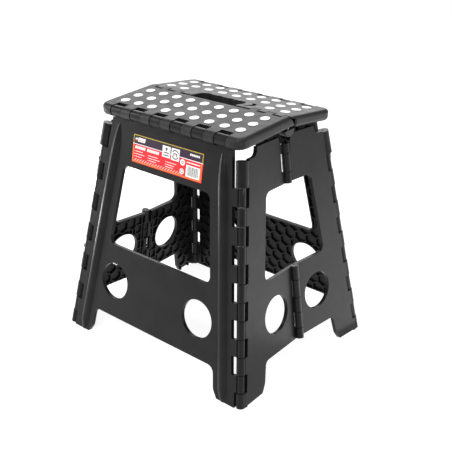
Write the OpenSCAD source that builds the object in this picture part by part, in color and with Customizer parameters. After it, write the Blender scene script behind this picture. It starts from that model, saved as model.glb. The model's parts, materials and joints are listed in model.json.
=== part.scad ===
// Folding step stool: a two-part top on two leg panels, with folding sides.
// X runs along the front, Y to the back, Z up. The origin is on the floor, under the centre.
// It is drawn as it stands just before the last push that locks it flat.

/* [Top] */
// Length of the top, along the front
top_length = 290; // [270:1:310]
// Depth of the top when it is pressed flat
top_depth = 220; // [210:1:230]
// Height of the top when it is pressed flat
height = 390; // [360:1:420]
// Thickness of the top's plate
plate = 3; // [2:0.5:4]

/* [Legs and sides] */
// Half the distance between the corner hinges at the floor, along the front
foot_x = 188.2; // [180:0.2:200]
// Half the distance between the corner hinges at the floor, front to back
foot_y = 153.3; // [148:0.1:158]
// Slope of the sides from upright, in degrees
side_slope = 8.2; // [7.5:0.1:9]
// Slope of the leg panels from upright, in degrees
leg_slope = 9.12; // [8.6:0.02:9.6]
// Thickness of a leg or side panel
panel = 6.3; // [5:0.1:6.3]

/* [Hinges] */
// Radius of the hinge knuckles along the corners and the sides' middles
barrel_r = 6.4; // [6.3:0.1:7]
// Radius of the top's hinge edges
edge_r = 9.2; // [8.5:0.1:10]
// Radius of the corner and side hinge pins
pin_r = 1.5; // [1.2:0.1:2]
// Radius of the pins in the top
top_pin_r = 2; // [1.5:0.1:2.5]

/* [Grip dots] */
// Radius of a grip dot
dot_r = 7.4; // [6:0.1:9]
// How far a dot stands above the top
dot_h = 0.6; // [0.4:0.1:1.5]

/* [Hidden] */
// Tilt of each half of the top as drawn, where the top's three hinges lie level
tilt = 4.87;
// Angle by which the sides' middle hinges stand outside the side panels
bow = 3.9;
$fn = 48;
// Running clearance of a pin, the gaps between knuckles, and the room for the open pivots
run = 0.05;
knuckle_gap = 1;
corner_gap = 1.5;
edge_gap = 1.5;
open_room = 4.2;
open_room_side = 0.8;
// Flange around each panel's hollow back, and the skin in front of it
flange = 2.4;
skin = 2.2;

// The top's hinge axes: from the leg hinge to the ridge, along the plate and down from it
ridge_run = top_depth / 2 - edge_r;
ridge_drop = ridge_run * tan(tilt);
ridge_y = ridge_run / cos(tilt);
hinge_z = height - edge_r;
half_length = top_length / 2;
// Rounding of the top's corners seen from above, and of its edges round the ends
plan_r = 19;
end_r = 6.5;

// Angles of the corner hinges within the leg panel and within the side
leg_splay = atan(tan(side_slope) * cos(leg_slope));
side_splay = atan(tan(leg_slope) * cos(side_slope));
// Distance along a corner hinge for each millimetre of height
corner_stretch = 1 / (cos(leg_slope) * cos(leg_splay));

// Where the top's leg hinge lies in the leg panel: up the panel, and out from it
leg_hinge_s = (foot_y - ridge_y) * sin(leg_slope) + hinge_z * cos(leg_slope);
leg_hinge_n = hinge_z * sin(leg_slope) - (foot_y - ridge_y) * cos(leg_slope);

// Knuckles of a corner hinge: heights where one ends and the next begins
corner_first = 23.5;
corner_pitch = 26.9;
corner_count = 13;
corner_top = 357;
leg_knuckle_r = 5.6;
end_knuckle_r = 9.2;
// How far a panel's edge stays from the hinge line, beside the other panel's knuckles
leg_edge_gap = 12.8;
leg_foot_gap = 7.4;
side_edge_gap = 8.4;
// Knuckles of the sides' middle hinges, upper and lower: heights of their ends
upper_ends = [299, 316.3, 343.9, 359.2];
lower_ends = [47.5, 66, 92, 117, 146, 169.7];
upper_slot = 11.8;
lower_slot = 7.3;
mid_edge = -0.5;
// How far from the pin the web between a corner knuckle and its panel starts
web_start = 3;

// Leg panel: heights along the slope
leg_band = 46.5;
leg_window_low = 169;
leg_window_high = 303;
leg_top = leg_hinge_s - edge_r - 1.4;
leg_window_gap = 54;
foot_width = 48.5;
hole_x = 90.8;
hole_s = 108.3;
hole_r = 30.1;
bead_gap = 30;
bead_r = 10;
bead_sink = 4.8;

// Side panel: heights along its slope, and distances from the middle
side_band = 47.5;
side_window_low = 169.7;
side_window_high = 302.5;
side_top = 373.6;
side_window_gap = 49.6;
side_foot_width = 54;
side_foot = 1.2;
side_hole_y = 53.1;
side_hole_s = 109.6;
notch_width = 25.6;
notch_low = 360.5;
mid_cut_r = 15;

// Leg knuckles along the top's edge
edge_pitch = 42.4;
edge_count = 6;
edge_slot = 22.8;
edge_slot_back = 11.6;
edge_knuckle_r = 8.6;

// Ridge knuckles: where each ends, from the left and from the right of the carrying handle
left_ends = [-145, -126, -111.5, -97, -82.5, -68, -53.5];
right_ends = [145, 131, 116.3, 101.6, 87, 72.3, 57.6];
ridge_knuckle_r = 9;
lug_r = 11;
tongue = 4.2;
seam_gap = 0.6;
ridge_gap = 1.5;

// Carrying handle's slot, and the thumb notch beside it
slot_left = -47;
slot_right = 44;
slot_back = 26.5;
slot_r = 9;
grips = 4;
grip_r = 11;
thumb_x = 57;
thumb_y = 18;
thumb_r = 8.5;

// Grip dots
dot_pitch_x = 29.3;
dot_pitch_y = 27.2;
dot_columns = 9;
dot_rows = 3;
dot_first_front = 21.7;
dot_first_rear = 23.4;

// Label on the front
label_w = 145;
label_h = 43.6;
label_s = 335;
label_t = 0.3;

// ---- Shapes drawn flat ----

// Points of an arc that rounds the corner at p, between the points a and b before and after it
function unit(v) = v / norm(v);
function corner_arc(a, p, b, r, steps = 4) =
    let (
        u = unit(a - p),
        w = unit(b - p),
        half = acos(max(-1, min(1, u * w))) / 2,
        middle = p + unit(u + w) * r / sin(half),
        from = p + u * r / tan(half) - middle,
        to = p + w * r / tan(half) - middle,
        turn = (from.x * to.y - from.y * to.x > 0 ? 1 : -1) * (180 - 2 * half)
    )
    [for (i = [0 : steps])
        let (t = turn * i / steps)
        middle + [from.x * cos(t) - from.y * sin(t), from.x * sin(t) + from.y * cos(t)]];

// Outline whose corners are [x, y, radius]; a radius of 0 leaves a corner sharp
function rounded(corners) =
    let (count = len(corners))
    [for (i = [0 : count - 1])
        let (
            c = corners[i],
            p = [c.x, c.y],
            before = corners[(i + count - 1) % count],
            after = corners[(i + 1) % count]
        )
        each (c.z > 0
            ? corner_arc([before.x, before.y], p, [after.x, after.y], c.z)
            : [p])];

// The same corners mirrored left to right, in the order that closes the outline
function with_mirror(right) =
    concat(right, [for (i = [len(right) - 1 : -1 : 0]) [-right[i].x, right[i].y, right[i].z]]);

// ---- Places ----

module front_leg_space() {
    translate([0, -foot_y, 0])
        rotate([90 - leg_slope, 0, 0])
            children();
}

// x runs back, y up the middle hinge, z out; the middle hinge is the line x = 0, z = 0
module side_space() {
    translate([foot_x, 0, 0])
        rotate([0, -side_slope, 0])
            rotate([90, 0, 90])
                children();
}

// The side panel itself, turned inwards about its corner hinge
module bowed_space() {
    translate([-foot_y, 0, 0])
        rotate([0, 0, -side_splay])
            rotate([0, bow, 0])
                rotate([0, 0, side_splay])
                    translate([foot_y, 0, 0])
                        children();
}

module right_corner_in_leg() {
    translate([foot_x, 0, 0])
        rotate([0, 0, leg_splay])
            children();
}

module corner_in_side() {
    translate([-foot_y, 0, 0])
        rotate([0, 0, -side_splay])
            children();
}

// x along the front, y from the leg hinge to the ridge, z up from the plate
module top_space() {
    translate([0, -ridge_y, hinge_z])
        rotate([tilt, 0, 0])
            children();
}

module rod_along_y(r, from, to) {
    translate([0, from, 0])
        rotate([-90, 0, 0])
            cylinder(r = r, h = to - from);
}

module rod_along_x(r, from, to) {
    translate([from, 0, 0])
        rotate([0, 90, 0])
            cylinder(r = r, h = to - from);
}

module both_ways() {
    children();
    mirror([1, 0, 0])
        children();
}

module below_floor() {
    translate([-500, -500, -100])
        cube([1000, 1000, 100]);
}

// ---- Corner hinge ----

function corner_low(i) = (i == 0 ? 0 : corner_first + corner_pitch * (i - 1)) * corner_stretch;
function corner_high(i) =
    (i == corner_count - 1 ? corner_top : corner_first + corner_pitch * i) * corner_stretch;

// Knuckles first, first + 2, ... of radius r
module corner_knuckles(first, r) {
    for (i = [first : 2 : corner_count - 1])
        rod_along_y(
            i == corner_count - 1 ? end_knuckle_r : r,
            corner_low(i) + corner_gap / 2,
            corner_high(i) - corner_gap / 2
        );
}

// Their webs, drawn flat, which reach the panel at x = side * reach
module corner_webs(first, side, reach) {
    for (i = [first : 2 : corner_count - 1])
        translate([side > 0 ? web_start : -reach, corner_low(i) + corner_gap / 2])
            square([reach - web_start, corner_high(i) - corner_low(i) - corner_gap]);
}

module corner_bore(r) {
    rod_along_y(r, -20, corner_top * corner_stretch + 20);
}

// ---- Leg panel ----

function leg_edge(s, gap) = foot_x - s * tan(leg_splay) - gap / cos(leg_splay);

function leg_outline(grow) = rounded(with_mirror([
    [leg_edge(leg_band, foot_width + grow), leg_band - grow, 12],
    [leg_edge(12, foot_width + grow), 12, 14],
    [leg_edge(0, foot_width + grow) + 8, -3, 0],
    [leg_edge(-3, leg_edge_gap - grow), -3, 0],
    [leg_edge(leg_top, leg_edge_gap - grow), leg_top + grow, 0]
]));

function leg_window(grow) = rounded(with_mirror([
    [leg_edge(leg_window_low, leg_window_gap - grow), leg_window_low - grow, 11],
    [leg_edge(leg_window_high, leg_window_gap - grow), leg_window_high + grow, 11]
]));

module leg_shape(grow) {
    difference() {
        polygon(leg_outline(grow));
        polygon(leg_window(-grow));
        both_ways()
            translate([hole_x, hole_s])
                circle(r = hole_r - grow);
    }
}

// Strip that brings the foot's edge close to the lowest knuckle of the side
module foot_edge() {
    top = corner_first + 1;
    polygon([
        [leg_edge(-3, leg_edge_gap + 1), -3],
        [leg_edge(-3, leg_foot_gap), -3],
        [leg_edge(top, leg_foot_gap), top],
        [leg_edge(top, leg_edge_gap + 1), top]
    ]);
}

// Round bead beside each edge, which stiffens the panel and runs out at both ends; its radii
// at the heights where its taper changes
bead_taper = [
    [-6, bead_sink - 0.5],
    [6, bead_r * 0.8],
    [18, bead_r],
    [318, bead_r],
    [338, bead_r * 0.93],
    [354, bead_r * 0.78],
    [366, bead_r * 0.58],
    [372, bead_sink - 0.5]
];

module leg_bead() {
    intersection() {
        translate([leg_edge(0, bead_gap), 0, panel - bead_sink])
            rotate([0, 0, leg_splay])
                rotate([-90, 0, 0])
                    rotate_extrude()
                        polygon(concat(
                            [[0, bead_taper[0][0]]],
                            [for (step = bead_taper) [step[1], step[0]]],
                            [[0, bead_taper[len(bead_taper) - 1][0]]]
                        ));
        translate([-500, -20, panel - skin / 2])
            cube([1000, 500, 20]);
    }
}

function edge_x(i) = (i - (edge_count - 1) / 2) * edge_pitch;

module leg_top_knuckles() {
    width = edge_slot - 2 * edge_gap;
    for (i = [0 : edge_count - 1])
        translate([edge_x(i) - width / 2, 0, 0]) {
            translate([0, leg_hinge_s, leg_hinge_n])
                rod_along_x(edge_knuckle_r, 0, width);
            translate([0, leg_top - 1, 0])
                cube([width, leg_hinge_s - leg_top + 1, panel]);
        }
}

module leg_panel() {
    difference() {
        front_leg_space()
            difference() {
                union() {
                    linear_extrude(panel) {
                        leg_shape(0);
                        both_ways() {
                            foot_edge();
                            right_corner_in_leg()
                                corner_webs(1, -1, leg_edge_gap + 1);
                        }
                    }
                    both_ways() {
                        leg_bead();
                        right_corner_in_leg()
                            corner_knuckles(1, leg_knuckle_r);
                    }
                    leg_top_knuckles();
                }
                translate([0, 0, -1])
                    linear_extrude(panel - skin + 1)
                        intersection() {
                            leg_shape(-flange);
                            translate([-500, flange])
                                square([1000, 500]);
                        }
                both_ways()
                    right_corner_in_leg()
                        corner_bore(pin_r);
                translate([0, leg_hinge_s, leg_hinge_n])
                    rod_along_x(top_pin_r, -half_length, half_length);
            }
        below_floor();
    }
}

// ---- Side panel: the right front half, in side_space ----

function side_edge(v, gap) = -foot_y + v * tan(side_splay) + gap / cos(side_splay);

function side_outline(grow) = rounded([
    [side_edge(0, side_edge_gap - grow), side_foot, 0],
    [side_edge(0, side_foot_width + grow) - 6, side_foot, 4],
    [side_edge(14, side_foot_width + grow), 14, 6],
    [side_edge(side_band, side_foot_width + grow) + 2, side_band - grow, 8],
    [mid_edge + 3 * grow, side_band - grow, 0],
    [mid_edge + 3 * grow, side_top + grow, 0],
    [side_edge(side_top, notch_width - grow), side_top + grow, 1],
    [side_edge(notch_low, notch_width - grow), notch_low + grow, 10],
    [side_edge(notch_low, side_edge_gap - grow), notch_low + grow, 0]
]);

function side_window(grow) = rounded([
    [side_edge(side_window_low, side_window_gap - grow), side_window_low - grow, 11],
    [20, side_window_low - grow, 0],
    [20, side_window_high + grow, 0],
    [side_edge(side_window_high, side_window_gap - grow), side_window_high + grow, 11]
]);

// Heights of the side's middle knuckles, as distances along the middle hinge
function mid_height(z) = z / cos(side_slope);

// Slots beside the other half's knuckles, a little longer than those
module mid_slots(ends, first, depth, grow) {
    for (i = [first : 2 : len(ends) - 2])
        translate([-depth - grow, mid_height(ends[i]) - knuckle_gap - grow])
            square([60, mid_height(ends[i + 1] - ends[i]) + 2 * knuckle_gap + 2 * grow]);
}

module side_shape(grow, first) {
    difference() {
        polygon(side_outline(grow));
        polygon(side_window(-grow));
        translate([-side_hole_y, side_hole_s])
            circle(r = hole_r - grow);
        translate([0, side_top])
            circle(r = mid_cut_r - grow);
        mid_slots(upper_ends, first, upper_slot, -grow);
        mid_slots(lower_ends, first, lower_slot, -grow);
    }
}

// Middle knuckles of one half, sunk into the edge of its panel
module mid_knuckles(ends, first) {
    for (i = [first : 2 : len(ends) - 2])
        rod_along_y(
            barrel_r,
            mid_height(ends[i]) + knuckle_gap / 2,
            mid_height(ends[i + 1]) - knuckle_gap / 2
        );
}

// own: 0 if this half has the end knuckles of the middle hinge, 1 if it has those between them
module side_half(own, bore) {
    other = 1 - own;
    difference() {
        side_space()
            difference() {
                union() {
                    bowed_space()
                        difference() {
                            linear_extrude(panel)
                                side_shape(0, other);
                            translate([0, 0, -1])
                                linear_extrude(panel - skin + 1)
                                    side_shape(-flange, other);
                        }
                    corner_in_side()
                        rotate([0, bow, 0]) {
                            corner_knuckles(0, barrel_r);
                            linear_extrude(panel)
                                corner_webs(0, 1, side_edge_gap + 1);
                        }
                    mid_knuckles(upper_ends, own);
                    mid_knuckles(lower_ends, own);
                }
                corner_in_side()
                    corner_bore(pin_r + run);
                rod_along_y(bore, 0, height);
            }
        below_floor();
    }
}

// ---- Top: the front half, in top_space ----

// Turns a cross-section drawn with x back and y up into a bar along X
module along_x(from, to) {
    translate([from, 0, 0])
        rotate([90, 0, 90])
            linear_extrude(to - from)
                children();
}

// Cross-section of a half, from its rounded hinge edge to the seam
module top_section() {
    circle(r = edge_r);
    polygon([
        [0, -ridge_drop],
        [ridge_run - lug_r - open_room, -ridge_drop],
        [ridge_run - lug_r - open_room, edge_r - plate - 2],
        [ridge_run - tongue - seam_gap, edge_r - 2],
        [ridge_run - tongue - seam_gap, edge_r],
        [0, edge_r]
    ]);
}

// Cross-section of a ridge knuckle of radius r, with the tongue of plate above it
module ridge_section(r) {
    translate([ridge_run, -ridge_drop])
        circle(r = r);
    polygon([
        [ridge_run - 20, -ridge_drop],
        [ridge_run + r, -ridge_drop],
        [ridge_run + r, -ridge_drop + 3],
        [ridge_run + tongue, edge_r - 2],
        [ridge_run + tongue, edge_r],
        [ridge_run - 20, edge_r]
    ]);
}

// Ridge knuckles number first, first + 2, ... counted inwards from both ends
module ridge_knuckles(first) {
    for (i = [first : 2 : len(left_ends) - 2]) {
        r = i == 0 ? lug_r : ridge_knuckle_r;
        along_x(left_ends[i] + (i == 0 ? 0 : ridge_gap / 2), left_ends[i + 1] - ridge_gap / 2)
            ridge_section(r);
        along_x(right_ends[i + 1] + ridge_gap / 2, right_ends[i] - (i == 0 ? 0 : ridge_gap / 2))
            ridge_section(r);
    }
}

module plan_shape() {
    polygon(rounded([
        [-half_length, -edge_r, plan_r],
        [half_length, -edge_r, plan_r],
        [half_length, ridge_run + 60, 0],
        [-half_length, ridge_run + 60, 0]
    ]));
}

// What the rounding takes off the upper edge round one end; mirrored, off the lower edge
module end_rounding() {
    corner_y = plan_r - edge_r;
    difference() {
        translate([half_length - end_r, corner_y, -end_r])
            cube([end_r + 1, ridge_run + lug_r, end_r + 1]);
        translate([half_length - end_r, 0, -end_r])
            rod_along_y(end_r, corner_y - 1, ridge_run + lug_r + corner_y + 1);
    }
    translate([half_length - plan_r, corner_y, -end_r])
        rotate([0, 0, -90])
            rotate_extrude(angle = 90)
                difference() {
                    translate([plan_r - end_r, 0])
                        square(end_r + 1);
                    translate([plan_r - end_r, 0])
                        circle(r = end_r);
                }
}

module top_half(first, bore) {
    difference() {
        intersection() {
            union() {
                along_x(-half_length, half_length)
                    top_section();
                ridge_knuckles(first);
                children();
            }
            translate([0, 0, -60])
                linear_extrude(120)
                    plan_shape();
        }
        for (i = [0 : edge_count - 1])
            translate([edge_x(i) - edge_slot / 2, -30, -30])
                cube([edge_slot, 30 + edge_slot_back, 60]);
        both_ways() {
            translate([0, 0, edge_r])
                end_rounding();
            translate([0, 0, -ridge_drop])
                mirror([0, 0, 1])
                    end_rounding();
        }
        rod_along_x(top_pin_r + run, -half_length + 6, half_length - 6);
        translate([0, ridge_run, -ridge_drop])
            rod_along_x(bore, -half_length + 3, half_length - 3);
    }
}

// The hollow under the plate
module top_hollow(back) {
    translate([-half_length + flange, edge_slot_back + flange, -40])
        cube([top_length - 2 * flange, back - edge_slot_back - flange, 40 + edge_r - plate]);
}

module front_half() {
    top_space()
        difference() {
            top_half(0, top_pin_r);
            top_hollow(ridge_run - 22);
        }
}

// Plan of the handle's slot in the rear half; grow widens it
module slot_shape(grow) {
    far = ridge_run - slot_back - grow;
    polygon(rounded([
        [slot_left - grow, ridge_run + 40, 0],
        [slot_left - grow, far, slot_r],
        [slot_right + grow, far, slot_r],
        [slot_right + grow, ridge_run + 40, 0]
    ]));
    for (i = [0 : grips - 1])
        translate([slot_left + (slot_right - slot_left) * (i + 0.5) / grips, far + grip_r - 2])
            circle(r = grip_r);
}

// Crescent beside the slot, where the thumb goes
module thumb_shape() {
    difference() {
        translate([thumb_x - thumb_r / 2, ridge_run - thumb_y])
            circle(r = thumb_r + 3);
        translate([thumb_x - thumb_r - 3, ridge_run - thumb_y])
            circle(r = thumb_r + 3);
    }
}

// Plate at the slot's two ends, which closes the seam there
module slot_ends() {
    for (span = [[left_ends[6], slot_left], [slot_right, right_ends[6]]])
        translate([span[0], ridge_run - 20, edge_r - plate])
            cube([span[1] - span[0], 20 + tongue, plate]);
}

module rear_half() {
    mirror([0, 1, 0])
        top_space()
            difference() {
                top_half(1, top_pin_r + open_room)
                    slot_ends();
                difference() {
                    top_hollow(ridge_run - 22);
                    translate([0, 0, -50])
                        linear_extrude(100)
                            slot_shape(flange);
                }
                translate([0, 0, -50])
                    linear_extrude(100) {
                        slot_shape(0);
                        thumb_shape();
                    }
            }
}

// Grip dots of one half; skip holds the first and last column left out of the row at the ridge
module dots(first_y, skip) {
    top_space()
        for (row = [0 : dot_rows - 1])
            for (column = [0 : dot_columns - 1])
                if (row > 0 || column < skip[0] || column > skip[1])
                    translate([
                        (column - (dot_columns - 1) / 2) * dot_pitch_x,
                        ridge_run - (first_y + row * dot_pitch_y),
                        edge_r
                    ])
                        cylinder(r = dot_r, h = dot_h);
}

// ---- Pins and label ----

module top_pin() {
    front_leg_space()
        translate([0, leg_hinge_s, leg_hinge_n])
            rod_along_x(top_pin_r, -half_length + 8, half_length - 8);
}

module corner_pin() {
    front_leg_space()
        right_corner_in_leg()
            rod_along_y(pin_r, 3, corner_top * corner_stretch - 2);
}

module side_pin(ends) {
    side_space()
        rod_along_y(pin_r, mid_height(ends[0]) + 1, mid_height(ends[len(ends) - 1]) - 1);
}

module ridge_pin(from, to) {
    top_space()
        translate([0, ridge_run, -ridge_drop])
            rod_along_x(top_pin_r, from, to);
}

module label_plate() {
    front_leg_space()
        translate([-label_w / 2, label_s - label_h / 2, panel])
            cube([label_w, label_h, label_t]);
}

// ---- Nodes ----

black = "#2a2a2c";

module front_leg() { color(black) leg_panel(); }
module rear_leg() { color(black) mirror([0, 1, 0]) leg_panel(); }
module top_front() { color("#5d5b5c") front_half(); }
module top_rear() { color("#5d5b5c") rear_half(); }
module side_right_front() { color(black) side_half(0, pin_r); }
module side_right_rear() { color(black) mirror([0, 1, 0]) side_half(1, pin_r + open_room_side); }
module side_left_front() { color(black) mirror([1, 0, 0]) side_half(0, pin_r); }
module side_left_rear() { color(black) mirror([1, 0, 0]) mirror([0, 1, 0]) side_half(1, pin_r + run); }
module pin_top_front() { color("silver") top_pin(); }
module pin_top_rear() { color("silver") mirror([0, 1, 0]) top_pin(); }
module pin_ridge_left() { color("silver") ridge_pin(-half_length + 3, left_ends[6] - 1); }
module pin_ridge_right() { color("silver") ridge_pin(right_ends[6] + 1, half_length - 3); }
module pin_corner_right_front() { color("silver") corner_pin(); }
module pin_corner_right_rear() { color("silver") mirror([0, 1, 0]) corner_pin(); }
module pin_corner_left_front() { color("silver") mirror([1, 0, 0]) corner_pin(); }
module pin_corner_left_rear() { color("silver") mirror([1, 0, 0]) mirror([0, 1, 0]) corner_pin(); }
module pin_side_right_upper() { color("silver") side_pin(upper_ends); }
module pin_side_right_lower() { color("silver") side_pin(lower_ends); }
module pin_side_left_upper() { color("silver") mirror([1, 0, 0]) side_pin(upper_ends); }
module pin_side_left_lower() { color("silver") mirror([1, 0, 0]) side_pin(lower_ends); }
module dots_front() { color("white") dots(dot_first_front, [dot_columns, -1]); }
module dots_rear() { color("white") mirror([0, 1, 0]) dots(dot_first_rear, [2, 6]); }
module label() { color("crimson") label_plate(); }

front_leg();
rear_leg();
top_front();
top_rear();
side_right_front();
side_right_rear();
side_left_front();
side_left_rear();
pin_top_front();
pin_top_rear();
pin_ridge_left();
pin_ridge_right();
pin_corner_right_front();
pin_corner_right_rear();
pin_corner_left_front();
pin_corner_left_rear();
pin_side_right_upper();
pin_side_right_lower();
pin_side_left_upper();
pin_side_left_lower();
dots_front();
dots_rear();
label();
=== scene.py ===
"""Folding step stool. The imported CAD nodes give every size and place; this adds the looks."""

import json
import math

import bmesh
import bpy
from mathutils import Matrix, Vector
from mathutils.bvhtree import BVHTree


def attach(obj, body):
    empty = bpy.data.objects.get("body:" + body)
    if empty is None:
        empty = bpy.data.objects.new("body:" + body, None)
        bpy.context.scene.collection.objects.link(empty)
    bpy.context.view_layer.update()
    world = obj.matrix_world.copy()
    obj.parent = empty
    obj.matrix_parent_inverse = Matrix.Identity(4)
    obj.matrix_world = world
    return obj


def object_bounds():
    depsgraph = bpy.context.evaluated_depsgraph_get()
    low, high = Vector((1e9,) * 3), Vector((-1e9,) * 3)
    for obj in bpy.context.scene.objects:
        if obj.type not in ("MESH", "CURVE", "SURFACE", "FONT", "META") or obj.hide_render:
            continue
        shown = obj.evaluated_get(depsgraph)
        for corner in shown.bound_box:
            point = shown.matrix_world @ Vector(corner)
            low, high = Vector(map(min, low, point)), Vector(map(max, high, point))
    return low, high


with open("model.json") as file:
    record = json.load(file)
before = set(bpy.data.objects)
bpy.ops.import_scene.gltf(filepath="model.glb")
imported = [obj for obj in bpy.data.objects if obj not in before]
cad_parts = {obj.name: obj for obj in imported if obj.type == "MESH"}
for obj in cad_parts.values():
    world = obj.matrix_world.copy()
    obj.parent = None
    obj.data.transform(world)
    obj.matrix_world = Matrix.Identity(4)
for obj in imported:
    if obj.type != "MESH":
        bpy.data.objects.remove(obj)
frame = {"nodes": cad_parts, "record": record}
cad_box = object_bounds()

MM = 0.001
PANELS = (
    "front_leg", "rear_leg",
    "side_right_front", "side_right_rear", "side_left_front", "side_left_rear",
)
TOPS = ("top_front", "top_rear")
DOTS = ("dots_front", "dots_rear")

# Ribs: the skin they stand on, how far behind its face they reach, their cells' width and their thickness
PANEL_RIBS = (2.2 * MM, 5.6 * MM, 22 * MM, 2.2 * MM)
TOP_RIBS = (3 * MM, 14 * MM, 26 * MM, 1.8 * MM)
# Half the width of the square cells down the middle of a side
LADDER = 27 * MM

# Width and height that the label's art is drawn in, and the thickness of one layer of its ink
LABEL_ART = (146, 46)
INK = 0.04 * MM


# ---- Camera, light and floor ----

def place_camera():
    """The main view: azimuth and elevation of the line of sight, and a slight roll."""
    azimuth, elevation, roll = (math.radians(angle) for angle in (40.794, 23.951, 0.477))
    back = Vector((
        math.sin(azimuth) * math.cos(elevation),
        -math.cos(azimuth) * math.cos(elevation),
        math.sin(elevation),
    ))
    right = Vector((math.cos(azimuth), math.sin(azimuth), 0))
    turn = Matrix((right, back.cross(right), back)).transposed() @ Matrix.Rotation(roll, 3, "Z")
    camera = bpy.data.objects.new("camera", bpy.data.cameras.new("camera"))
    camera.data.sensor_width = 36
    camera.data.lens = 63.565
    camera.matrix_world = Matrix.Translation((0.7987, -0.8964, 0.7193)) @ turn.to_4x4()
    bpy.context.scene.collection.objects.link(camera)
    bpy.context.scene.camera = camera


def area_light(name, place, target, size, power):
    light = bpy.data.lights.new(name, "AREA")
    light.shape = "RECTANGLE"
    light.size, light.size_y = size
    light.energy = power
    lamp = bpy.data.objects.new(name, light)
    lamp.location = place
    lamp.rotation_euler = (Vector(target) - Vector(place)).to_track_quat("-Z", "Y").to_euler()
    bpy.context.scene.collection.objects.link(lamp)


def light_studio():
    world = bpy.data.worlds.new("studio")
    world.use_nodes = True
    tree = world.node_tree
    soft = tree.nodes["Background"]
    soft.inputs["Color"].default_value = (1, 1, 1, 1)
    soft.inputs["Strength"].default_value = 0.36
    # What the camera sees past the floor's edge is as white as the floor
    backdrop = tree.nodes.new("ShaderNodeBackground")
    backdrop.inputs["Color"].default_value = (1, 1, 1, 1)
    ray = tree.nodes.new("ShaderNodeLightPath")
    mix = tree.nodes.new("ShaderNodeMixShader")
    tree.links.new(ray.outputs["Is Camera Ray"], mix.inputs[0])
    tree.links.new(soft.outputs[0], mix.inputs[1])
    tree.links.new(backdrop.outputs[0], mix.inputs[2])
    tree.links.new(mix.outputs[0], tree.nodes["World Output"].inputs["Surface"])
    bpy.context.scene.world = world
    bpy.context.scene.view_settings.view_transform = "Standard"
    middle = (0, 0, 0.2)
    area_light("left_strip", (-1.9, -0.9, 0.8), middle, (0.3, 1.9), 34)
    area_light("left_low_strip", (-0.75, 0.1, 0.015), middle, (1.0, 0.12), 7)
    area_light("right_low_panel", (0.7, 0.55, 0.01), (0.7, 0.55, 1), (1.0, 1.0), 4.4)
    area_light("right_softbox", (2.2, 1.2, 0.8), middle, (1.2, 1.2), 16)
    area_light("back_softbox", (-1.5, 1.9, 1.25), middle, (2.4, 1.3), 27)
    area_light("key_softbox", (0.7, -1.7, 1.7), middle, (1.0, 1.0), 26)
    area_light("overhead_softbox", (0, 0, 2.3), middle, (1.4, 1.4), 26)


def lay_floor():
    """A white sheet that glows a little, so that it stays white and its shadows stay faint."""
    mesh = bpy.data.meshes.new("floor")
    form = bmesh.new()
    bmesh.ops.create_circle(form, cap_ends=True, segments=96, radius=30)
    form.to_mesh(mesh)
    form.free()
    floor = bpy.data.objects.new("floor", mesh)
    floor.location.z = cad_box[0].z - 0.0002
    bpy.context.scene.collection.objects.link(floor)
    paper = Nodes("floor_paper")
    paper.shader.inputs["Base Color"].default_value = (0.35, 0.35, 0.35, 1)
    paper.shader.inputs["Roughness"].default_value = 1
    paper.shader.inputs["Specular IOR Level"].default_value = 0
    paper.shader.inputs["Emission Color"].default_value = (1, 1, 1, 1)
    paper.shader.inputs["Emission Strength"].default_value = 0.86
    mesh.materials.append(paper.material)


# ---- Materials ----

class Nodes:
    """A material's node tree, with one short call for each node."""

    def __init__(self, name):
        self.material = bpy.data.materials.new(name)
        self.material.use_nodes = True
        self.tree = self.material.node_tree
        self.shader = self.tree.nodes["Principled BSDF"]
        self.place = self.add("ShaderNodeTexCoord").outputs["Object"]

    def add(self, kind, **settings):
        node = self.tree.nodes.new(kind)
        for key, value in settings.items():
            setattr(node, key, value)
        return node

    def link(self, source, socket):
        self.tree.links.new(source, socket)

    def noise(self, scale, detail=2.0, roughness=0.5):
        node = self.add("ShaderNodeTexNoise")
        node.inputs["Scale"].default_value = scale
        node.inputs["Detail"].default_value = detail
        node.inputs["Roughness"].default_value = roughness
        self.link(self.place, node.inputs["Vector"])
        return node.outputs["Fac"]

    def spread(self, value, low, high):
        """Maps a value from 0.3 to 0.7, where noise mostly lies, onto low to high."""
        node = self.add("ShaderNodeMapRange")
        node.inputs["From Min"].default_value = 0.3
        node.inputs["From Max"].default_value = 0.7
        node.inputs["To Min"].default_value = low
        node.inputs["To Max"].default_value = high
        self.link(value, node.inputs["Value"])
        return node.outputs["Result"]

    def mix(self, value, first, second):
        node = self.add("ShaderNodeMix", data_type="RGBA")
        node.inputs["A"].default_value = (*first, 1)
        node.inputs["B"].default_value = (*second, 1)
        self.link(value, node.inputs["Factor"])
        return node.outputs["Result"]

    def bump(self, height, strength, distance, normal=None):
        node = self.add("ShaderNodeBump")
        node.inputs["Strength"].default_value = strength
        node.inputs["Distance"].default_value = distance
        self.link(height, node.inputs["Height"])
        if normal:
            self.link(normal, node.inputs["Normal"])
        return node.outputs["Normal"]


def moulded_plastic(name, dark, light, gloss, roughness, grain, grain_height):
    """Black plastic: faint flow marks in its colour and gloss, and a fine grain."""
    nodes = Nodes(name)
    flow = nodes.noise(28, 3)
    nodes.link(nodes.mix(nodes.spread(flow, 0, 1), dark, light), nodes.shader.inputs["Base Color"])
    nodes.shader.inputs["Specular IOR Level"].default_value = gloss
    smear = nodes.noise(75, 4, 0.6)
    nodes.link(nodes.spread(smear, roughness - 0.05, roughness + 0.06), nodes.shader.inputs["Roughness"])
    waves = nodes.bump(nodes.noise(40, 1), 0.25, 0.00025)
    fine = nodes.bump(nodes.noise(grain, 3, 0.6), 0.5, grain_height, waves)
    nodes.link(fine, nodes.shader.inputs["Normal"])
    return nodes.material


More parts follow.
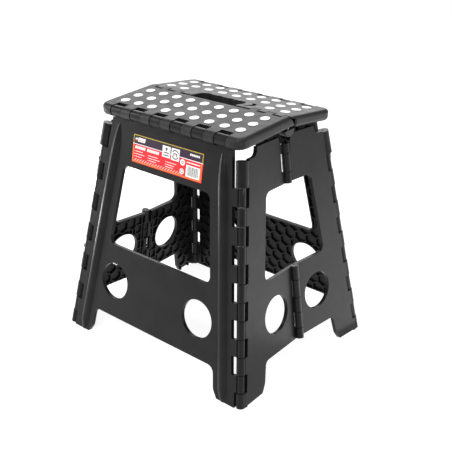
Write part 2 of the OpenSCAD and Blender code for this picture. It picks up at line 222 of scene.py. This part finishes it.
def dot_rubber():
    """White rubber, with tiny pimples and a trace of grey."""
    nodes = Nodes("dot_rubber")
    tint = nodes.mix(nodes.spread(nodes.noise(160, 3), 0, 1), (0.86, 0.86, 0.85), (0.93, 0.93, 0.92))
    nodes.link(tint, nodes.shader.inputs["Base Color"])
    nodes.shader.inputs["Roughness"].default_value = 0.62
    nodes.link(nodes.bump(nodes.noise(1400, 2), 0.5, 0.0001), nodes.shader.inputs["Normal"])
    return nodes.material


def pin_steel():
    nodes = Nodes("pin_steel")
    nodes.shader.inputs["Metallic"].default_value = 1
    tint = nodes.mix(nodes.noise(300, 3), (0.42, 0.42, 0.43), (0.58, 0.58, 0.58))
    nodes.link(tint, nodes.shader.inputs["Base Color"])
    nodes.link(nodes.spread(nodes.noise(900, 2), 0.25, 0.4), nodes.shader.inputs["Roughness"])
    return nodes.material


def printed_ink(name, colour):
    """Glossy print, slightly uneven as on coated paper."""
    nodes = Nodes(name)
    darker = tuple(channel * 0.86 for channel in colour)
    tint = nodes.mix(nodes.spread(nodes.noise(500, 3), 0, 1), darker, colour)
    nodes.link(tint, nodes.shader.inputs["Base Color"])
    nodes.shader.inputs["Specular IOR Level"].default_value = 0.2
    nodes.shader.inputs["Roughness"].default_value = 0.38
    nodes.link(nodes.bump(nodes.noise(900, 2), 0.15, 0.00004), nodes.shader.inputs["Normal"])
    return nodes.material


def dress(node, material):
    """Gives a CAD node its material."""
    obj = frame["nodes"][node]
    obj.data.materials.clear()
    obj.data.materials.append(material)
    return obj


def round_edges(obj, width, segments=2):
    """Welds the CAD mesh, clears its flat faces of spare edges, and rounds what is sharp."""
    weld = obj.modifiers.new("weld", "WELD")
    weld.merge_threshold = 0.000002
    flat = obj.modifiers.new("flat", "DECIMATE")
    flat.decimate_type = "DISSOLVE"
    flat.angle_limit = math.radians(0.5)
    bevel = obj.modifiers.new("bevel", "BEVEL")
    bevel.width = width
    bevel.segments = segments
    bevel.limit_method = "ANGLE"
    bevel.angle_limit = math.radians(38)
    bevel.harden_normals = True
    normals = obj.modifiers.new("normals", "WEIGHTED_NORMAL")
    normals.keep_sharp = True


# ---- New pieces ----

def outer_face(obj):
    """A point on the largest flat face that looks away from the stool's middle, its normal,
    and two axes in it."""
    middle = (cad_box[0] + cad_box[1]) / 2
    faces = [face for face in obj.data.polygons if face.normal.dot(face.center - middle) > 0]
    areas = {}
    for face in faces:
        key = tuple(round(value, 2) for value in face.normal)
        areas[key] = areas.get(key, 0) + face.area
    key = Vector(max(areas, key=areas.get))
    face = max((face for face in faces if (face.normal - key).length < 0.02), key=lambda face: face.area)
    normal = face.normal.copy()
    across = Vector((0, 0, 1)).cross(normal).normalized()
    return face.center.copy(), normal, across, normal.cross(across)


def prism(form, corners, low, high):
    """Closed prism with the given flat outline, between two offsets; corners and offsets are vectors."""
    bottom = [form.verts.new(corner + low) for corner in corners]
    top = [form.verts.new(corner + high) for corner in corners]
    form.faces.new(bottom[::-1])
    form.faces.new(top)
    for i in range(len(corners)):
        j = (i + 1) % len(corners)
        form.faces.new((bottom[i], bottom[j], top[j], top[i]))


def new_piece(name, form, body, material):
    mesh = bpy.data.meshes.new(name)
    bmesh.ops.recalc_face_normals(form, faces=form.faces)
    form.to_mesh(mesh)
    form.free()
    piece = bpy.data.objects.new(name, mesh)
    bpy.context.scene.collection.objects.link(piece)
    mesh.materials.append(material)
    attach(piece, body)
    return piece


def honeycomb(cell, low, high):
    """Edges of a hexagonal grid that covers the box from low to high, as pairs of points."""
    edges = []
    side = cell / math.sqrt(3)
    for row in range(math.floor(low.y / (1.5 * side)) - 1, math.ceil(high.y / (1.5 * side)) + 1):
        for column in range(math.floor(low.x / cell) - 1, math.ceil(high.x / cell) + 1):
            x = (column + (row % 2) / 2) * cell
            y = row * 1.5 * side
            hub = Vector((x, y + side / 2))
            edges.append((hub, Vector((x, y + 1.5 * side))))
            edges.append((hub, Vector((x - cell / 2, y))))
            edges.append((hub, Vector((x + cell / 2, y))))
    return edges


def inside_runs(start, end, inside, step):
    """Stretches of the line from start to end that lie inside, as pairs of distances."""
    length = (end - start).length
    along = (end - start) / length
    count = max(2, math.ceil(length / step))
    marks = [inside(start + along * length * i / count) for i in range(count + 1)]
    runs = []
    first = None
    for i, mark in enumerate(marks + [False]):
        if mark and first is None:
            first = i
        elif not mark and first is not None:
            runs.append((length * first / count, length * (i - 1) / count))
            first = None
    return runs, length


def hollow_ribs(node, body, slot, material, skin, depth, cell, thick, ladder=0):
    """Moulded honeycomb ribs behind a panel's skin, each of them ended about where the skin ends.

    Within ladder of the middle of the stool, along Y, the cells are square instead."""
    obj = frame["nodes"][node]
    origin, normal, across, up = outer_face(obj)
    points = [v.co for v in obj.data.vertices]
    tree = BVHTree.FromPolygons(points, [p.vertices for p in obj.data.polygons])
    flat = [Vector(((point - origin).dot(across), (point - origin).dot(up))) for point in points]
    low = Vector((min(p.x for p in flat), min(p.y for p in flat)))
    high = Vector((max(p.x for p in flat), max(p.y for p in flat)))
    probe = (skin + depth) / 2

    def place(point):
        return origin + across * point.x + up * point.y

    def in_hollow(point):
        hit = tree.ray_cast(place(point) - normal * probe, normal, probe - skin + 0.4 * MM)
        return hit[0] is not None

    def in_comb(point):
        return abs(place(point).y) > ladder and in_hollow(point)

    def in_ladder(point):
        return abs(place(point).y) < ladder + 0.5 * MM and in_hollow(point)

    def at_world_y(value, y):
        """The point of the panel at this height whose world Y is value."""
        return Vector(((value - origin.y - up.y * y) / across.y, y))

    form = bmesh.new()
    half = thick / 2
    bite = 0.7 * MM
    step = 1 * MM

    def rib(start, end, inside, shallow, pointed):
        runs, length = inside_runs(start, end, inside, step)
        along = (end - start) / length
        side = Vector((-along.y, along.x)) * half
        for first, last in runs:
            if last - first < 2 * step:
                continue
            outline = []
            for spot, whole, sign in ((first, first < 1e-9, -1), (last, last > length - 1e-9, 1)):
                tip = start + along * spot
                if whole and pointed:
                    back = tip - along * sign * half / math.sqrt(3)
                    outline += [back - side * sign, tip, back + side * sign]
                else:
                    tip = tip + along * sign * bite
                    outline += [tip - side * sign, tip + side * sign]
            corners = [place(point) for point in outline]
            prism(form, corners, -normal * (depth - shallow), -normal * (skin - 0.2 * MM))

    for start, end in honeycomb(cell, low, high):
        rib(start, end, in_comb, 0, True)
    if ladder:
        for value in (-ladder, -ladder / 2, ladder / 2, ladder):
            rib(at_world_y(value, low.y), at_world_y(value, high.y), in_ladder, 0.2 * MM, False)
        for i in range(1, math.floor((high.y - low.y) / (cell * 0.75))):
            y = low.y + i * cell * 0.75
            rib(at_world_y(-ladder, y), at_world_y(ladder, y), in_ladder, 0.4 * MM, False)
    return new_piece(node + "_ribs", form, body, material)


def box_shape(left, low, right, high, lean=0):
    return [(left, low), (right, low), (right + lean, high), (left + lean, high)]


def round_shape(x, y, radius, count=20):
    turn = 2 * math.pi / count
    return [(x + radius * math.cos(turn * i), y + radius * math.sin(turn * i)) for i in range(count)]


def frame_shapes(left, low, right, high, width):
    """A thin rectangular outline, in four bars."""
    return [
        box_shape(left, low, right, low + width),
        box_shape(left, high - width, right, high),
        box_shape(left, low + width, left + width, high - width),
        box_shape(right - width, low + width, right, high - width),
    ]


def arc_shape(x, y, radius, width, start, turn, count=10):
    outside = []
    inside = []
    for i in range(count + 1):
        angle = math.radians(start + turn * i / count)
        outside.append((x + radius * math.cos(angle), y + radius * math.sin(angle)))
        inside.append((x + (radius - width) * math.cos(angle), y + (radius - width) * math.sin(angle)))
    return outside + inside[::-1]


def dashes(left, low, height, lengths, gap, lean=0):
    """A row of short bars that stands for a line of print, without any letters."""
    shapes = []
    for length in lengths:
        shapes.append(box_shape(left, low, left + length, low + height, lean))
        left += length + gap
    return shapes


def bullet_lines(left, heights, lengths):
    shapes = []
    for height, length in zip(heights, lengths):
        shapes.append(round_shape(left, height, 0.75, 8))
        shapes += dashes(left + 2, height - 0.45, 0.9, [length * 0.3, length * 0.45, length * 0.2], 0.5)
    return shapes


def label_layer(name, shapes, level, colour):
    """Flat print on the label, a few hundredths of a millimetre thick, measured from its lower left.

    Its measures are those of LABEL_ART, which is stretched to fill the label."""
    obj = frame["nodes"]["label"]
    origin, normal, across, up = outer_face(obj)
    places = [Vector(((v.co - origin).dot(across), (v.co - origin).dot(up))) for v in obj.data.vertices]
    left, right = (limit(p.x for p in places) for limit in (min, max))
    low, high = (limit(p.y for p in places) for limit in (min, max))
    across = across * (right - left) / LABEL_ART[0]
    up = up * (high - low) / LABEL_ART[1]
    origin = origin + across.normalized() * left + up.normalized() * low
    form = bmesh.new()
    for shape in shapes:
        corners = [origin + across * x + up * y for x, y in shape]
        prism(form, corners, normal * (level - 1) * INK, normal * level * INK)
    new_piece(name, form, "front_leg", printed_ink(name, colour))


def print_label():
    wide, high = LABEL_ART
    strip = 30.4
    label_layer("label_strip", [box_shape(0, strip, wide, high)], 1, (0.036, 0.018, 0.04))
    border = [
        box_shape(0, 0.9, wide - 1.6, 2.9),
        box_shape(0, 2.9, 2.6, strip),
        box_shape(wide - 4, 2.9, wide - 1.6, strip),
    ]
    label_layer("label_border", border, 1, (0.95, 0.19, 0.035))
    stripes = [box_shape(4 + 5.5 * i, 3, 6.4 + 5.5 * i, 7, 4.4) for i in range(19)]
    label_layer("label_stripes", stripes, 1, (0.95, 0.42, 0.34))
    outline = frame_shapes(0.7, strip, wide - 0.7, high - 0.7, 0.95)[1:]
    label_layer("label_outline", outline, 2, (0.58, 0.5, 0.02))

    white = [box_shape(0, strip - 0.5, wide, strip + 0.6)]
    white += [box_shape(63.3, 23, 79.8, 41), box_shape(82, 22, 98.5, 41)]
    white += [box_shape(9.5, 35, 25, 41.5, 1.6), box_shape(4.2, 37.6, 9, 40.2, 1)]
    white += dashes(5, 23, 4.6, [3.2, 2.6, 3.4, 2.8, 3, 3.2], 0.7, 0.9)
    white += dashes(31, 23, 4.6, [2.8, 3.4, 2.6, 3.2, 3, 2.8, 3.2], 0.7, 0.9)
    white += bullet_lines(5.2, (18.8, 14.6, 10.4), (15, 19, 13))
    white += bullet_lines(34.5, (17.4, 13.4, 9.6), (18, 23, 15))
    white += bullet_lines(72, (16.6, 12.6, 9), (20, 16, 13))
    white += [round_shape(106, 23.4, 4.9), round_shape(106, 9.4, 4.3), box_shape(113.8, 3.5, 141.3, 21.8)]
    white += dashes(114, 24.9, 1.8, [2.6, 3.2, 1.8, 3.4, 2.4, 3, 2.2, 2.6], 0.8)
    white += dashes(119.5, 37.2, 3.2, [2.6, 2.2, 2.8, 2.4, 2.8, 2.2], 0.8)
    label_layer("label_white", white, 3, (0.86, 0.86, 0.85))

    mark = [box_shape(4.4, 35.4, 8.6, 37), box_shape(11, 36.8, 22, 37.8, 0.3)]
    label_layer("label_mark", mark, 4, (0.7, 0.03, 0.03))
    # An arrow over two bars, and a step between two arcs
    black = [[(68, 35.6), (75, 35.6), (71.5, 39)], box_shape(70.4, 33, 72.6, 35.6)]
    black += [box_shape(66, 29.6, 77, 31.2), box_shape(66, 25.4, 77, 27)]
    black += [arc_shape(90.2, 31.4, 7.4, 1.5, 25, 130), arc_shape(90.2, 31.4, 7.4, 1.5, 205, 130)]
    black.append(box_shape(86, 32.2, 94.4, 33.6))
    black += [box_shape(86.6, 28.4, 88, 32.2), box_shape(92.4, 28.4, 93.8, 32.2)]
    black += frame_shapes(104, 21.4, 108, 25.4, 0.9) + [arc_shape(106, 9.4, 2.9, 0.9, 0, 350, 16)]
    left = 117
    for width in (0.7, 0.4, 1.1, 0.5, 0.8, 0.4, 1.2, 0.6, 0.4, 0.9, 0.5, 1.1, 0.4, 0.8):
        black.append(box_shape(left, 5.6, left + width, 20))
        left += width + 0.85
    label_layer("label_black", black, 4, (0.012, 0.012, 0.013))


place_camera()
light_studio()
lay_floor()

panel_plastic = moulded_plastic(
    "panel_plastic", (0.006, 0.006, 0.0062), (0.01, 0.0098, 0.01), 0.17, 0.33, 1500, 0.00006
)
# The top is the same plastic as the panels; its lighter colour is painted sheen, for the light its
# upturned face reflects
top_plastic_painted_sheen = moulded_plastic(
    "top_plastic_painted_sheen", (0.01, 0.0096, 0.0096), (0.017, 0.0162, 0.0162), 0.22, 0.42, 1100, 0.00012
)
rubber = dot_rubber()
steel = pin_steel()
bodies = {node: body for body, nodes in frame["record"]["behaviour"]["bodies"].items() for node in nodes}
for name in PANELS:
    round_edges(dress(name, panel_plastic), 0.5 * MM)
    ladder = LADDER if name.startswith("side") else 0
    hollow_ribs(name, bodies[name], "panels", panel_plastic, *PANEL_RIBS, ladder)
for name in TOPS:
    round_edges(dress(name, top_plastic_painted_sheen), 0.6 * MM)
    hollow_ribs(name, bodies[name], "top", top_plastic_painted_sheen, *TOP_RIBS)
for name in DOTS:
    round_edges(dress(name, rubber), 0.3 * MM)
dress("label", printed_ink("label_red", (0.84, 0.022, 0.03)))
print_label()
for name in frame["nodes"]:
    if name.startswith("pin_"):
        dress(name, steel)
